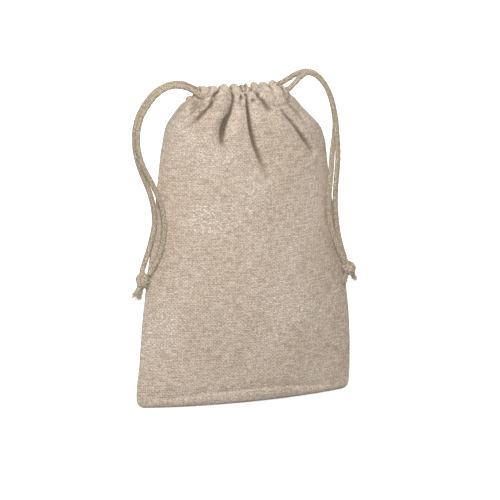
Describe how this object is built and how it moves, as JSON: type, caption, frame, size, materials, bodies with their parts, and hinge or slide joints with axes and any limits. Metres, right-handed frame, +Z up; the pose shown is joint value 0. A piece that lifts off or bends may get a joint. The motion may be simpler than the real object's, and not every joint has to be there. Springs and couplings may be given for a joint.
{
  "type": "drawstring gift sack",
  "caption": "Soft woven drawstring gift sack standing filled, with a gathered neck, a sewn casing round the mouth and a pair of knotted cord loops that pull it shut.",
  "frame": {"origin": "middle of the base, on the surface that the sack stands on", "axes": "+Z up, +X to the right along the sack's width, the front faces -Y"},
  "size_m": [0.2055, 0.0554, 0.2928],
  "materials": {
    "cloth": "plain woven beige cloth with fine metallic glints",
    "casing_cloth": "same woven cloth, gathered",
    "thread": "matt polyester sewing thread",
    "cord": "soft braided cord with metallic flecks"
  },
  "bodies": {
    "sack": {"front_panel": "cloth", "back_panel": "cloth", "front_casing": "casing_cloth", "back_casing": "casing_cloth", "front_casing_stitches": "thread", "back_casing_stitches": "thread", "left_side_seam": "cloth", "right_side_seam": "cloth", "bottom_seam": "cloth"},
    "left_cord": {"left_cord_run": "cord"},
    "left_loop": {"left_front_strand": "cord", "left_back_strand": "cord", "left_knot": "cord", "left_cord_tips": "cord"},
    "right_cord": {"right_cord_run": "cord"},
    "right_loop": {"right_front_strand": "cord", "right_back_strand": "cord", "right_knot": "cord", "right_cord_tips": "cord"}
  },
  "joints": [
    {"name": "left_cord_pull", "type": "slide", "parent": "sack", "child": "left_cord", "axis": [-0.9974, 0, 0.0724], "range_m": [0, 0.005]},
    {"name": "left_loop_swing", "type": "hinge", "parent": "left_cord", "child": "left_loop", "pos_m": [-0.0365, 0, 0.27705], "axis": [0, 1, 0], "range_deg": [0, 55]},
    {"name": "right_cord_pull", "type": "slide", "parent": "sack", "child": "right_cord", "axis": [0.9974, 0, 0.0724], "range_m": [0, 0.005]},
    {"name": "right_loop_swing", "type": "hinge", "parent": "right_cord", "child": "right_loop", "pos_m": [0.0365, 0, 0.27705], "axis": [0, -1, 0], "range_deg": [0, 55]}
  ]
}
